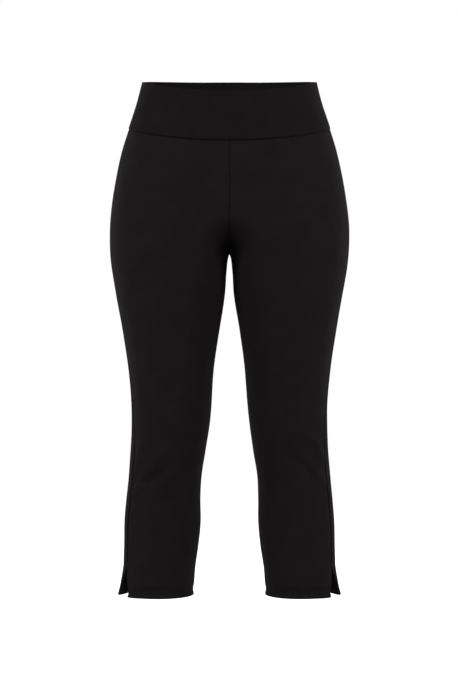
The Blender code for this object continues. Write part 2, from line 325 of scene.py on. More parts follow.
def base_normal(z, angle):
    """The outward direction of the smooth face."""
    behind, ahead = np.maximum(angle - ANGLE_STEP, FRONT_END), np.minimum(angle + ANGLE_STEP, BACK_END)
    along = base_point(z, ahead) - base_point(z, behind)
    upwards = base_point(z + HEIGHT_STEP, angle) - base_point(z - HEIGHT_STEP, angle)
    normal = np.cross(along, upwards)
    return normal / np.linalg.norm(normal, axis=-1, keepdims=True)


def seam_angle(z):
    return OUTER_SIDE - shape_at(np.asarray(z, float)).seam_forward


def lift_of(folds, z, angle, side):
    """How far these folds lift the cloth on one leg."""
    section = shape_at(z)
    lift = np.zeros_like(z)
    for leg, at_angle, at_z, slope, length, width, height in folds:
        if leg != side:
            continue
        around = np.radians(angle - at_angle) * (section.outer - section.centre)
        if at_angle > OUTER_SIDE:
            around = -around
        above, slope = z - at_z, math.radians(slope)
        along = around * math.cos(slope) + above * math.sin(slope)
        across = above * math.cos(slope) - around * math.sin(slope)
        lift += height * np.exp(-((2 * along / length) ** 2) - (2 * across / width) ** 2)
    return lift


def unevenness(points):
    """A slow unevenness that runs on across the seams."""
    lift = np.zeros(points.shape[:-1])
    for along_x, along_y, along_z, shift, height in WAVES:
        turns = points[..., 0] / along_x + points[..., 1] / along_y + points[..., 2] / along_z
        lift += height * np.sin(2 * math.pi * turns + math.radians(shift))
    return lift


def flare(z, angle):
    """How far a back panel's vent edge has swung out."""
    open_share = np.clip((VENT_TOP_Z - z) / (VENT_TOP_Z - HEM_Z), 0, 1)
    from_edge = angle - seam_angle(z)
    swung = np.clip(1 - from_edge / FLARE_REACH, 0, 1) ** FLARE_POWER
    risen = groove(from_edge, FLARE_UP_REACH, FLARE_UP) - groove(from_edge - HANG_FROM_EDGE, HANG_REACH, HANG)
    return open_share[..., None] * np.stack((FLARE_OUT * swung, FLARE_BACK * swung, risen), -1)


def drawn_in(z, angle):
    """How far a front panel's vent edge is drawn in and hangs down."""
    open_share = np.clip((VENT_TOP_Z - z) / (VENT_TOP_Z - HEM_Z), 0, 1)
    edge_share = smooth_step(1 - (seam_angle(z) - angle) / VENT_DRAWN_REACH)
    return (open_share * edge_share)[..., None] * np.array((-VENT_DRAWN_IN, 0, -VENT_DROP))


def contour(z, angle, tilt, dip):
    """How far the rim or the band's seam, level with z at the sides, lies over that height at this angle."""
    point = base_point(z, angle)
    towards_front = np.sqrt(np.maximum(1 - (point[..., 0] / shape_at(z).outer) ** 2, 0))
    towards_front = np.where(point[..., 1] > 0, -towards_front, towards_front)
    return -tilt * towards_front - dip * towards_front**2


class Arcs:
    """Distances along the cloth at some heights, from the side seam to the inseam or the middle plane."""

    def __init__(self, levels, at_front):
        levels = np.asarray(levels, float)
        share = np.linspace(0, 1, ARC_STEPS + 1) ** ARC_POWER
        start = seam_angle(levels)[:, None]
        end = FRONT_END if at_front else BACK_END
        self.angles = end + (start - end) * (1 - share)
        points = base_point(levels[:, None], self.angles)
        steps = np.linalg.norm(np.diff(points, axis=1), axis=-1)
        self.runs = np.concatenate((np.zeros((len(levels), 1)), np.cumsum(steps, axis=1)), axis=1)
        self.total = self.runs[:, -1]
        self.sign = -1 if at_front else 1

    def angles_at(self, distances):
        return np.array([np.interp(d, runs, angles) for d, runs, angles in zip(distances, self.runs, self.angles)])

    def distances_at(self, angles):
        return np.array([
            np.interp(self.sign * a, self.sign * known, runs) for a, known, runs in zip(angles, self.angles, self.runs)
        ])


def column_distances(levels, at_front):
    """The distance of each column from the side seam, at each height. Just above the crotch the columns stay over
    the crotch's, so that none runs askew as the cloth's end leaves the inseam."""
    arcs = Arcs(levels, at_front)
    crotch = Arcs(np.minimum(levels, CROTCH_Z), at_front)
    first, last = SIDE_EDGE_STEPS[-1], EDGE_STEPS[-1]
    shares = np.linspace(0, 1, PANEL_COLUMNS + 2)[1:-1]
    even = first + shares * (arcs.total[:, None] - first - last)
    as_crotch = first + shares * (crotch.total[:, None] - first - last)
    above_crotch = arcs.distances_at(crotch.angles_at(as_crotch))
    share = smooth_step((np.asarray(levels) - CROTCH_Z) / FRONT_RISE)[:, None]
    middle = even * share + above_crotch * (1 - share)
    room = (PANEL_COLUMNS - np.arange(PANEL_COLUMNS)) * LEAST_COLUMN
    middle = np.minimum(middle, arcs.total[:, None] - last - room)
    start = np.tile(SIDE_EDGE_STEPS, (len(levels), 1))
    end = arcs.total[:, None] - np.array(EDGE_STEPS[::-1])
    return arcs, np.concatenate((start, middle, end), axis=1)


def panel_levels():
    """The height of each fine row of a panel, at the sides."""
    levels = [BAND_SEAM_SIDE_Z - BAND_GAP - step for step in EDGE_STEPS]
    for end, rows, power in ROW_RUNS:
        start = levels[-1]
        levels += [end + (start - end) * (1 - i / rows) ** power for i in range(1, rows + 1)]
    return np.array(levels + [HEM_Z + step for step in HEM_STEPS[::-1]])


def dressed_points(levels, distances, arcs, side, at_front):
    """(points, outward directions, heights) of the creased cloth's outer face, in mm, on one leg."""
    angles = arcs.angles_at(distances)
    levels = np.asarray(levels)[:, None]
    fade = 1 - smooth_step((BAND_SEAM_SIDE_Z - levels) / CONTOUR_FADE)
    z = levels + fade * contour(levels + 0 * angles, angles, BAND_SEAM_TILT, BAND_SEAM_DIP)
    points = base_point(z, angles)
    normals = base_normal(z, angles)
    lift = lift_of(FOLDS, z, angles, side) + bpy.context.scene.leggings_cloth.creasing * (
        lift_of(CREASES, z, angles, side) + unevenness(points * (side, 1, 1))
    )
    from_vent = np.abs(angles - seam_angle(z)) / HEM_RECESS_FROM_VENT
    lift = lift - hem_recess(levels - HEM_Z) * (1 if at_front else smooth_step(from_vent))
    points = points + normals * lift[..., None]
    return points + (drawn_in(z, angles) if at_front else flare(z, angles)), normals, z


# ---- Cloth edges ----


def seam_dip(distance, width, depth):
    """How deep the cloth turns in at a seam, from depth at the seam to nothing at width."""
    share = np.clip(1 - distance / width, 0, 1)
    return depth * (1 - np.sqrt(1 - share**2))


def folded_edge(distance, thickness):
    """Offsets of the outer and inner face under a rounded fold's edge."""
    radius = thickness / 2
    half = np.sqrt(np.maximum(radius**2 - (radius - np.minimum(distance, radius)) ** 2, 0))
    return radius - half, radius + half


def groove(distance, width, depth):
    return depth * np.exp(-((distance / width) ** 2))


def hem_rows():
    """How far the hem's two rows of stitching lie above its edge, in mm."""
    return HEM_ROW, HEM_ROW + bpy.context.scene.leggings_stitch.rows_apart / MM


def hem_recess(above):
    """How far the cloth lies back just over the hem's turned edge."""
    reach = np.where(above > HEM_RECESS_UP, HEM_RECESS_ABOVE, HEM_RECESS_BELOW)
    return groove(above - HEM_RECESS_UP, reach, HEM_RECESS)


def seam_shade(*seams):
    """How much painted shade darkens the cloth beside the seams. A seam is (distances in mm, width in mm, strength)."""
    return np.maximum.reduce([groove(distance, width, strength) for distance, width, strength in seams])


def hollow_shade(points):
    """How much painted shade, standing in for the hollow between the thighs, darkens the front's cloth."""
    x, z = np.abs(points[..., 0]), points[..., 2]
    high = smooth_step((HOLLOW_SHADE_TOP - z) / HOLLOW_SHADE_TOP_FADE)
    high = high * smooth_step((z - HOLLOW_SHADE_END) / HOLLOW_SHADE_END_FADE)
    return HOLLOW_SHADE * high * np.exp(-((x / hollow_width(z)) ** HOLLOW_SHADE_SQUARE))


def middle_seam_directions(normals, from_seam, merged):
    """The outward directions, turned into the middle plane beside the seam that lies in it."""
    close = smooth_step(1 - from_seam / MIDDLE_SEAM_REACH) * merged[:, None]
    directions = normals.copy()
    directions[..., 0] *= 1 - close
    return directions


def panel_walls(side, at_front):
    """(outer grid, inner grid, cloth coordinates, painted shade) of a leg panel, the grids in mm."""
    cloth = bpy.context.scene.leggings_cloth
    thickness = cloth.thickness / MM
    seam_width, seam_depth = cloth.seam_width / MM, cloth.seam_depth / MM
    levels = panel_levels()
    arcs, distances = column_distances(levels, at_front)
    points, normals, z = dressed_points(levels, distances, arcs, side, at_front)

    from_inner_seam = arcs.total[:, None] - distances
    from_top = (levels[0] - levels)[:, None] + 0 * distances
    from_hem = (levels - HEM_Z)[:, None] + 0 * distances
    in_vent = smooth_step((VENT_TOP_Z - z) / VENT_FADE)
    hem_turned = smooth_step((cloth.hem_depth / MM - from_hem) / DOUBLED_FADE + 0.5)
    vent_turned = in_vent * smooth_step((cloth.vent_turning / MM - distances) / DOUBLED_FADE + 0.5)
    wall = thickness * (1 + DOUBLED_MORE * np.maximum(hem_turned, vent_turned))

    dip = np.maximum(
        seam_dip(distances, seam_width, seam_depth * SIDE_SEAM_DEEPER) * (1 - in_vent),
        np.maximum(seam_dip(from_inner_seam, seam_width, seam_depth), seam_dip(from_top, seam_width, seam_depth)),
    )
    hem_out, hem_in = folded_edge(from_hem, wall)
    vent_out, vent_in = folded_edge(distances, wall)
    vent_out, vent_in = vent_out * in_vent, vent_in * in_vent + wall * (1 - in_vent)
    sewn = sum(groove(from_hem - row, HEM_GROOVE_WIDTH, HEM_GROOVE) for row in hem_rows())
    sewn = sewn + in_vent * groove(distances - VENT_ROW, VENT_GROOVE_WIDTH, VENT_GROOVE)
    outer_offset = np.maximum(np.maximum(dip, hem_out), vent_out) + sewn
    inner_offset = np.maximum(np.minimum(hem_in, vent_in), outer_offset + LEAST_WALL)

    merged = levels >= CROTCH_Z
    inwards = middle_seam_directions(normals, from_inner_seam, merged)

    def placed(offset):
        grid = points - inwards * offset[..., None]
        grid[..., 0] = np.maximum(grid[..., 0], 0)
        grid[merged, -1, 0] = 0
        grid[:, -1, 1] = np.minimum(grid[:, -1, 1], 0) if at_front else np.maximum(grid[:, -1, 1], 0)
        return grid * (side, 1, 1)

    coordinates = np.stack((distances * (1 if at_front else -1), z), -1) * MM
    # Painted shade beside the side seam, the inseam or middle seam, and the waistband's seam
    shade = seam_shade(
        (distances + VENT_OUT_OF_SHADE * in_vent, SIDE_SEAM_SHADE_WIDTH, SIDE_SEAM_SHADE),
        (from_inner_seam, SEAM_SHADE_WIDTH, INNER_SEAM_SHADE),
        (from_top, SEAM_SHADE_WIDTH, BAND_SEAM_SHADE),
    )
    # Painted shade over the hem's lower row of stitching
    shade = shade + groove(from_hem - HEM_ROW, HEM_SHADE_WIDTH, HEM_SHADE)
    # Painted shade in the hollow between the thighs, on the front
    if at_front:
        shade = 1 - (1 - shade) * (1 - hollow_shade(points))
    return placed(outer_offset), placed(inner_offset), coordinates, shade


def joined(left, right):
    """A grid over the left half and one over the right, joined at the middle."""
    return np.concatenate((left, right[:, -2::-1]), axis=1)


def band_walls(at_front):
    """What panel_walls gives, for half of the waistband, from the left side seam to the right."""
    cloth = bpy.context.scene.leggings_cloth
    wall = cloth.band_thickness / MM
    seam_width, seam_depth = cloth.seam_width / MM, cloth.seam_depth / MM
    height = RIM_SIDE_Z - BAND_SEAM_SIDE_Z
    downs = list(EDGE_STEPS) + list(np.linspace(EDGE_STEPS[-1], height - EDGE_STEPS[-1], BAND_ROWS)[1:-1])
    downs = np.array(downs + [height - step for step in EDGE_STEPS[::-1]])
    share = (downs / height)[:, None]
    levels = np.full(len(downs), BAND_SEAM_SIDE_Z)
    arcs = Arcs(levels, at_front)
    steps = np.concatenate((EDGE_STEPS, np.linspace(EDGE_STEPS[-1], arcs.total[0], BAND_COLUMNS)[1:]))
    distances = np.tile(steps, (len(downs), 1))
    angles = arcs.angles_at(distances)
    level = (RIM_SIDE_Z - downs)[:, None] + 0 * angles
    tilt = RIM_TILT + (BAND_SEAM_TILT - RIM_TILT) * share
    dip = RIM_DIP + (BAND_SEAM_DIP - RIM_DIP) * share
    z = level + contour(level, angles, tilt, dip)
    points = base_point(z, angles)
    normals = base_normal(z, angles)

    from_top, from_seam = downs[:, None] + 0 * angles, (height - downs)[:, None] + 0 * angles
    dips = np.maximum(
        seam_dip(distances, seam_width, seam_depth),
        seam_dip(from_seam, seam_width * BAND_SEAM_NARROWER, seam_depth + BAND_SEAM_DEEPER),
    )
    rim_out, rim_in = folded_edge(from_top, wall + 0 * dips)
    outer_offset = np.maximum(dips, rim_out) - BAND_PROUD
    inner_offset = np.maximum(rim_in - BAND_PROUD, outer_offset + LEAST_WALL)

    def placed(offset, side):
        grid = points - normals * offset[..., None]
        lift = cloth.creasing * unevenness(grid * (side, 1, 1))
        return (grid + normals * lift[..., None]) * (side, 1, 1)

    def both_halves(offset):
        left, right = placed(offset, 1), placed(offset, -1)
        left[:, -1, 0] = 0
        return joined(left, right)

    coordinates = np.stack((joined(distances - arcs.total[0], arcs.total[0] - distances), joined(z, z)), -1) * MM
    # Painted shade beside the waistband's side seams and its lower seam
    shade = seam_shade((distances, SEAM_SHADE_WIDTH, INNER_SEAM_SHADE), (from_seam, SEAM_SHADE_WIDTH, BAND_SEAM_SHADE))
    return both_halves(outer_offset), both_halves(inner_offset), coordinates, joined(shade, shade)


# ---- Meshes ----


def wall_piece(name, walls, flipped, material, inside_shade=INSIDE_SHADE):
    """A closed shell between two grids. One UV map holds the cloth coordinates, and the other how much painted shade
    darkens the cloth beside its seams, in the hollow, over the hem and where it lies inside."""
    outside, inside, coordinates, shade = walls
    rows, columns = outside.shape[:2]
    points = np.concatenate((outside.reshape(-1, 3), inside.reshape(-1, 3))) * MM
    index = np.arange(rows * columns).reshape(rows, columns)
    front = np.stack((index[:-1, 1:], index[1:, 1:], index[1:, :-1], index[:-1, :-1]), -1).reshape(-1, 4)
    back = front[:, [0, 3, 2, 1]] + rows * columns
    border = np.concatenate((index[0], index[1:, -1], index[-1, -2::-1], index[-2:0:-1, 0]))
    ahead = np.roll(border, -1)
    edge = np.stack((ahead, border, border + rows * columns, ahead + rows * columns), -1)
    faces = np.concatenate((front, back, edge))
    if flipped:
        faces = faces[:, [0, 3, 2, 1]]
    mesh = bpy.data.meshes.new(name)
    mesh.from_pydata(points.tolist(), [], faces.tolist())
    # Painted shade: the inner faces are at least this much darker, as shade falls inside
    shade = np.concatenate((shade.reshape(-1), np.maximum(shade, inside_shade).reshape(-1)))
    for word, uv in (("cloth", np.tile(coordinates.reshape(-1, 2), (2, 1))), ("shade", np.stack((shade, shade), -1))):
        layer = mesh.uv_layers.new(name=word)
        layer.data.foreach_set("uv", uv[faces.reshape(-1)].astype(np.float32).reshape(-1))
    mesh.shade_smooth()
    mesh.set_sharp_from_angle(angle=math.radians(SHARP_ANGLE))
    mesh.materials.append(material)
    return new_object(name, mesh)


def new_object(name, data):
    made = bpy.data.objects.new(name, data)
    bpy.context.scene.collection.objects.link(made)
    return made


def dress(piece, node):
    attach(piece, "root")
    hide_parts(node)


def stitches(name, runs, material):
    """Raised thread along each run of (starts, ends, outward directions), one short tapered loop a stitch."""
    radius = bpy.context.scene.leggings_stitch.thread / 2 / MM
    starts, ends, normals = (np.concatenate(parts)[:, None, None] for parts in zip(*runs))
    middle, half = (starts + ends) / 2, (ends - starts) / 2
    across = np.cross(normals, half)
    across /= np.linalg.norm(across, axis=-1, keepdims=True)
    along, girth, rise = np.array(STITCH_RINGS).T[..., None, None]
    turns = 2 * math.pi * np.arange(STITCH_SIDES)[:, None] / STITCH_SIDES
    round_thread = across * np.cos(turns) + normals * np.sin(turns)
    points = middle + half * along + radius * (normals * rise + girth * round_thread)
    index = np.arange(points[..., 0].size).reshape(points.shape[:3])
    ahead = np.roll(index, -1, axis=2)
    sides = np.stack((index[:, :-1], ahead[:, :-1], ahead[:, 1:], index[:, 1:]), -1).reshape(-1, 4)
    mesh = bpy.data.meshes.new(name)
    faces = sides.tolist() + index[:, 0, ::-1].tolist() + index[:, -1].tolist()
    mesh.from_pydata((points.reshape(-1, 3) * MM).tolist(), [], faces)
    mesh.shade_smooth()
    mesh.materials.append(material)
    return new_object(name, mesh)


def stitched_line(points, normals):
    """Splits a line of close points into stitches of even length."""
    settings = bpy.context.scene.leggings_stitch
    length, pitch = settings.length / MM, (settings.length + settings.gap) / MM
    runs = np.concatenate(([0], np.cumsum(np.linalg.norm(np.diff(points, axis=0), axis=1))))
    starts = np.arange(0, runs[-1] - length, pitch)

    def at(where, values):
        return np.stack([np.interp(where, runs, values[:, axis]) for axis in range(3)], -1)

    directions = at(starts + length / 2, normals)
    directions /= np.linalg.norm(directions, axis=1, keepdims=True)
    return at(starts, points), at(starts + length, points), directions


def cloth_line(side, at_front, levels, distances):
    """(points, outward directions) of the cloth's outer face, for one row or column of distances."""
    points, normals, _ = dressed_points(levels, distances, Arcs(levels, at_front), side, at_front)
    return points.reshape(-1, 3) * (side, 1, 1), normals.reshape(-1, 3) * (side, 1, 1)


def hem_lines(side, at_front, above):
    """One row of hem stitching, at a height above the hem's edge."""
    level = np.array([HEM_Z + above])
    last = Arcs(level, at_front).total[0] - HEM_ROW_END
    distances = np.linspace(HEM_ROW_START, last, HEM_ROW_POINTS)[None, :]
    return stitched_line(*cloth_line(side, at_front, level, distances))


def vent_line(side, at_front):
    """The stitching down one edge of the vent."""
    levels = np.linspace(VENT_TOP_Z + VENT_ROW_TOP, HEM_Z + VENT_ROW_BOTTOM, VENT_ROW_POINTS)
    return stitched_line(*cloth_line(side, at_front, levels, np.full((VENT_ROW_POINTS, 1), VENT_ROW)))


def bar_tack(side):
    """Close short stitches across the seam at the top of the vent."""
    levels = VENT_TOP_Z + np.linspace(BAR_TACK_FROM, BAR_TACK_TO, BAR_TACK_STITCHES)
    reach = np.full((BAR_TACK_STITCHES, 1), BAR_TACK_REACH)
    front, front_normals = cloth_line(side, True, levels, reach)
    back, back_normals = cloth_line(side, False, levels, reach)
    normals = front_normals + back_normals
    normals /= np.linalg.norm(normals, axis=1, keepdims=True)
    return front + normals * BAR_TACK_LIFT, back + normals * BAR_TACK_LIFT, normals


def turning_walls(side, at_front, levels, first, last):
    """What panel_walls gives, for a seam's turnings, pressed flat inside the cloth from one distance to another along
    it. Distances under zero count from the inseam or the middle plane."""
    inset = bpy.context.scene.leggings_cloth.thickness / MM + TURNING_GAP
    arcs = Arcs(levels, at_front)
    steps = np.linspace(first, last, TURNING_COLUMNS)
    distances = np.where(steps < 0, arcs.total[:, None] + steps, steps + 0 * arcs.total[:, None])
    points, normals, z = dressed_points(levels, distances, arcs, side, at_front)
    edge = np.minimum(np.abs(steps - first), np.abs(steps - last))[None, :] + 0 * z
    near, far = folded_edge(edge, TURNING_THICKNESS + 0 * z)
    far = np.maximum(far, near + LEAST_WALL)

    def placed(offset):
        grid = points - normals * (offset + inset)[..., None]
        grid[..., 0] = np.maximum(grid[..., 0], 0)
        return grid * (side, 1, 1)

    # The turnings lie inside, under the same painted shade
    return placed(near), placed(far), np.stack((distances, z), -1) * MM, INSIDE_SHADE + 0 * distances


# ---- Materials ----


class Tree:
    """Adds nodes to a node tree, and sets or links what goes into them."""

    def __init__(self, tree):
        self.nodes, self.links = tree.nodes, tree.links

    def put(self, socket, value):
        if isinstance(value, bpy.types.NodeSocket):
            self.links.new(value, socket)
        else:
            socket.default_value = value

    def fill(self, node, inputs):
        for name, value in inputs.items():
            self.put(node.inputs[name], value)

    def add(self, kind, inputs=None, **settings):
        node = self.nodes.new(kind)
        for name, value in settings.items():
            setattr(node, name, value)
        self.fill(node, inputs or {})
        return node

    def math(self, operation, *values):
        return self.add("ShaderNodeMath", dict(enumerate(values)), operation=operation).outputs[0]


def new_group(name, vectors, values, outputs):
    """(group, tree, sockets going in, sockets coming out) of a new node group. Its outputs are values."""
    group = bpy.data.node_groups.new(name, "ShaderNodeTree")
    ways = (("INPUT", "Vector", vectors), ("INPUT", "Float", values), ("OUTPUT", "Float", outputs))
    for way, kind, labels in ways:
        for label in labels:
            group.interface.new_socket(name=label, in_out=way, socket_type=f"NodeSocket{kind}")
    tree = Tree(group)
    return group, tree, tree.add("NodeGroupInput").outputs, tree.add("NodeGroupOutput").inputs


def new_material(name):
    """(material, tree, shader) of a new material."""
    material = bpy.data.materials.new(name)
    material.use_nodes = True
    tree = Tree(material.node_tree)
    return material, tree, tree.nodes["Principled BSDF"]


def knit_group():
    """Jersey's face: columns of small V-shaped loops, from the cloth coordinates in metres, with painted shade between
    them.
    """
    name = "Jersey knit"
    if name in bpy.data.node_groups:
        return bpy.data.node_groups[name]
    group, tree, given, out = new_group(name, ["Cloth"], ["Wale", "Course"], ["Height", "Shade"])
    cloth = tree.add("ShaderNodeSeparateXYZ", {0: given["Cloth"]}).outputs
    across = tree.math("DIVIDE", cloth[0], given["Wale"])
    up = tree.math("DIVIDE", cloth[1], given["Course"])
    from_middle = tree.math("SUBTRACT", tree.math("FRACT", across), 0.5)
    aside = tree.math("MULTIPLY", tree.math("ABSOLUTE", from_middle), 2.0)
    slanted = tree.math("ADD", up, tree.math("MULTIPLY", aside, LOOP_SLANT))
    wave = tree.math("SINE", tree.math("MULTIPLY", slanted, 2 * math.pi))
    yarn = tree.math("MULTIPLY_ADD", wave, 0.5, 0.5)
    leg = tree.math("SINE", tree.math("MULTIPLY", aside, math.pi))
    height = tree.math("MULTIPLY", tree.math("ADD", leg, LOOP_LEAST), yarn)
    tree.put(out["Height"], height)
    # Painted shade: the cloth is darker where the loops are low, between them
    tree.put(out["Shade"], tree.math("MULTIPLY_ADD", height, LOOP_LIGHTER, LOOP_LEAST_SHADE))
    return group


def dye_group():
    """Slow and fine unevenness of dye and nap."""
    name = "Dye and nap"
    if name in bpy.data.node_groups:
        return bpy.data.node_groups[name]
    group, tree, given, out = new_group(name, [], ["Slow", "Fine"], ["Shade", "Nap"])
    place = tree.add("ShaderNodeTexCoord").outputs["Object"]
    parts = []
    for scale, detail in ((38.0, 4.0), (900.0, 2.0)):
        noise = tree.add("ShaderNodeTexNoise", {"Scale": scale, "Detail": detail, "Vector": place})
        parts.append(tree.math("SUBTRACT", noise.outputs["Fac"], 0.5))
    slow = tree.math("MULTIPLY", parts[0], given["Slow"])
    fine = tree.math("MULTIPLY", parts[1], given["Fine"])
    tree.put(out["Shade"], tree.math("ADD", tree.math("ADD", slow, fine), 1.0))
    tree.put(out["Nap"], tree.math("ADD", parts[1], 0.5))
    return group


def dyed_and_shaded(tree, colour, shade):
    """The colour, made darker or lighter by a shade between 0 and 2: uneven dye, and in the jersey also painted shade.
    """
    brightest = (*(2 * value for value in colour), 1)
    inputs = {"A": (0, 0, 0, 1), "B": brightest, "Factor": tree.math("MULTIPLY", shade, 0.5)}
    return tree.add("ShaderNodeMix", inputs, data_type="RGBA").outputs["Result"]


def jersey(name, colour, knit):
    """Matt stretch jersey with a soft nap that catches light at a glancing angle."""
    if name in bpy.data.materials:
        return bpy.data.materials[name]
    dye = bpy.context.scene.leggings_dye
    material, tree, shader = new_material(name)
    cloth = tree.add("ShaderNodeUVMap", uv_map="cloth").outputs[0]
    sizes = {"Cloth": cloth, "Wale": knit.wale, "Course": knit.course}
    loops = tree.add("ShaderNodeGroup", sizes, node_tree=knit_group())
    uneven = tree.add("ShaderNodeGroup", {"Slow": 0.5, "Fine": 0.8}, node_tree=dye_group())
    # Painted shade from the 'shade' UV map darkens the colour beside seams, in the hollow, over the hem and inside
    shading = tree.add("ShaderNodeUVMap", uv_map="shade").outputs[0]
    painted_shade = tree.add("ShaderNodeSeparateXYZ", {0: shading}).outputs[0]
    shade = tree.math("MULTIPLY", loops.outputs["Shade"], uneven.outputs["Shade"])
    shade = tree.math("MULTIPLY", shade, tree.math("SUBTRACT", 1.0, painted_shade))
    heights = tree.math("MULTIPLY_ADD", uneven.outputs["Nap"], NAP_HEIGHT, loops.outputs["Height"])
    mattness = tree.math("MULTIPLY_ADD", uneven.outputs["Nap"], NAP_ROUGHNESS, dye.roughness - NAP_ROUGHNESS / 2)
    bump = tree.add("ShaderNodeBump", {"Strength": 0.5, "Distance": knit.depth, "Height": heights})
    tree.fill(shader, {
        "Metallic": 0,
        "Specular IOR Level": dye.gloss,
        "Sheen Weight": dye.sheen,
        "Sheen Roughness": dye.sheen_spread,
        "Sheen Tint": (*dye.sheen_colour, 1),
        "Base Color": dyed_and_shaded(tree, colour, shade),
        "Roughness": mattness,
        "Normal": bump.outputs["Normal"],
    })
    return material


def leg_jersey():
    return jersey("leg jersey", bpy.context.scene.leggings_dye.leg_colour, LEG_KNIT)


def band_jersey():
    return jersey("waistband jersey", bpy.context.scene.leggings_dye.band_colour, BAND_KNIT)


def sewing_thread():
    """Smooth polyester thread, a little glossier than the cloth."""
    name = "sewing thread"
    if name in bpy.data.materials:
        return bpy.data.materials[name]
    material, tree, shader = new_material(name)
    uneven = tree.add("ShaderNodeGroup", {"Slow": 0.2, "Fine": 0.8}, node_tree=dye_group())
    colour = dyed_and_shaded(tree, bpy.context.scene.leggings_dye.thread_colour, uneven.outputs["Shade"])
    tree.fill(shader, {"Metallic": 0, "Specular IOR Level": 0.15, "Roughness": 0.6, "Base Color": colour})
    return material


# ---- Settings ----


SIZE = {"unit": "LENGTH", "precision": 4}
POWER = {"unit": "POWER", "min": 0}
SHARE = {"subtype": "FACTOR", "min": 0, "max": 1}
TINT = {"subtype": "COLOR", "min": 0, "max": 1}


class LEGGINGS_PG_cloth(bpy.types.PropertyGroup):
    """Sizes of the cloth and of its turned edges."""

    thickness: FloatProperty(name="Cloth", description="Thickness of one layer of jersey", default=0.0011, **SIZE)
    band_thickness: FloatProperty(name="Band", description="Thickness of the doubled waistband", default=0.0026, **SIZE)
    seam_width: FloatProperty(name="Seam width", description="Where the cloth begins to turn", default=0.0024, **SIZE)
    seam_depth: FloatProperty(name="Seam depth", description="How deep it turns in at a seam", default=0.0009, **SIZE)
    hem_depth: FloatProperty(name="Hem", description="How deep the hem is turned up inside", default=0.0193, **SIZE)
    vent_turning: FloatProperty(name="Vent turning", description="Width of its turned edges", default=0.007, **SIZE)
    creasing: FloatProperty(
        name="Creasing", description="Strength of the creases", default=1.0, min=0, max=2, subtype="FACTOR"
    )


class LEGGINGS_PG_dye(bpy.types.PropertyGroup):
    """Colours and finish of the cloth."""

    leg_colour: FloatVectorProperty(name="Legs", description="Their colour", default=(0.0098, 0.008, 0.0084), **TINT)
    band_colour: FloatVectorProperty(name="Band", description="Its colour", default=(0.0091, 0.0069, 0.0074), **TINT)
    thread_colour: FloatVectorProperty(name="Thread", description="Its colour", default=(0.0068, 0.0057, 0.006), **TINT)
    sheen_colour: FloatVectorProperty(name="Sheen colour", description="Its tint", default=(1.0, 0.93, 0.96), **TINT)
    sheen: FloatProperty(name="Sheen", description="How strongly the nap catches light", default=0.04, **SHARE)
    sheen_spread: FloatProperty(name="Sheen spread", description="How far in it reaches", default=0.35, **SHARE)
    gloss: FloatProperty(name="Gloss", description="How much light the yarn's surface mirrors", default=0.05, **SHARE)
    roughness: FloatProperty(name="Roughness", description="How matt the cloth is", default=0.85, **SHARE)


class LEGGINGS_PG_stitch(bpy.types.PropertyGroup):
    """Sizes of the stitching."""

    length: FloatProperty(name="Stitch", description="Length of one stitch", default=0.0026, **SIZE)
    gap: FloatProperty(name="Gap", description="Cloth between two stitches", default=0.0007, **SIZE)
    thread: FloatProperty(name="Thread", description="Its thickness", default=0.00045, unit="LENGTH", precision=5)
    rows_apart: FloatProperty(name="Rows apart", description="Between the hem's two rows", default=0.0032, **SIZE)


class LEGGINGS_PG_studio(bpy.types.PropertyGroup):
    """Camera, floor and light."""

    camera_distance: FloatProperty(name="Camera distance", description="How far it stands off", default=2.648, **SIZE)
    camera_side: FloatProperty(name="Camera side", description="How far it stands aside", default=-0.0007, **SIZE)
    camera_height: FloatProperty(name="Camera height", description="Height over the origin", default=-0.3888, **SIZE)
    lens: FloatProperty(name="Lens", description="Focal length", default=85.0, unit="CAMERA")
    floor_height: FloatProperty(name="Floor height", description="Height over the origin", default=-1.05, **SIZE)
    surround: FloatProperty(name="Surround", description="Strength of the light from all round", default=0.02, min=0)
    front_lights: FloatProperty(name="Front lights", description="Power of each light in front", default=46.0, **POWER)
    high_lights: FloatProperty(name="High lights", description="Power of each light above them", default=15.0, **POWER)
    side_lights: FloatProperty(name="Side lights", description="Power of each light at a side", default=18.0, **POWER)
    rim_lights: FloatProperty(name="Rim lights", description="Power of each light behind a side", default=14.0, **POWER)
    back_light: FloatProperty(name="Back light", description="Power of the light behind", default=45.0, **POWER)


# ---- Operators ----

LEG_NODES = (("left", 1), ("right", -1))


class LEGGINGS_OT_waistband(bpy.types.Operator):
    """Make the front and back of the wide waistband"""

    bl_idname = "leggings.waistband"
    bl_label = "Waistband"

    def execute(self, context):
        for part, at_front in (("front", True), ("back", False)):
            name = f"waistband_{part}"
            piece = wall_piece(f"{name}_cloth", band_walls(at_front), at_front, band_jersey(), BAND_INSIDE_SHADE)
            dress(piece, name)
        return {"FINISHED"}


class LEGGINGS_OT_leg_fronts(bpy.types.Operator):
    """Make the two front leg panels"""

    bl_idname = "leggings.leg_fronts"
    bl_label = "Leg fronts"

    def execute(self, context):
        for leg, side in LEG_NODES:
            piece = wall_piece(f"front_{leg}_cloth", panel_walls(side, True), side > 0, leg_jersey())
            dress(piece, f"front_{leg}")
        return {"FINISHED"}


class LEGGINGS_OT_leg_backs(bpy.types.Operator):
    """Make the two back leg panels"""

    bl_idname = "leggings.leg_backs"
    bl_label = "Leg backs"

    def execute(self, context):
        for leg, side in LEG_NODES:
            piece = wall_piece(f"back_{leg}_cloth", panel_walls(side, False), side < 0, leg_jersey())
            dress(piece, f"back_{leg}")
        return {"FINISHED"}


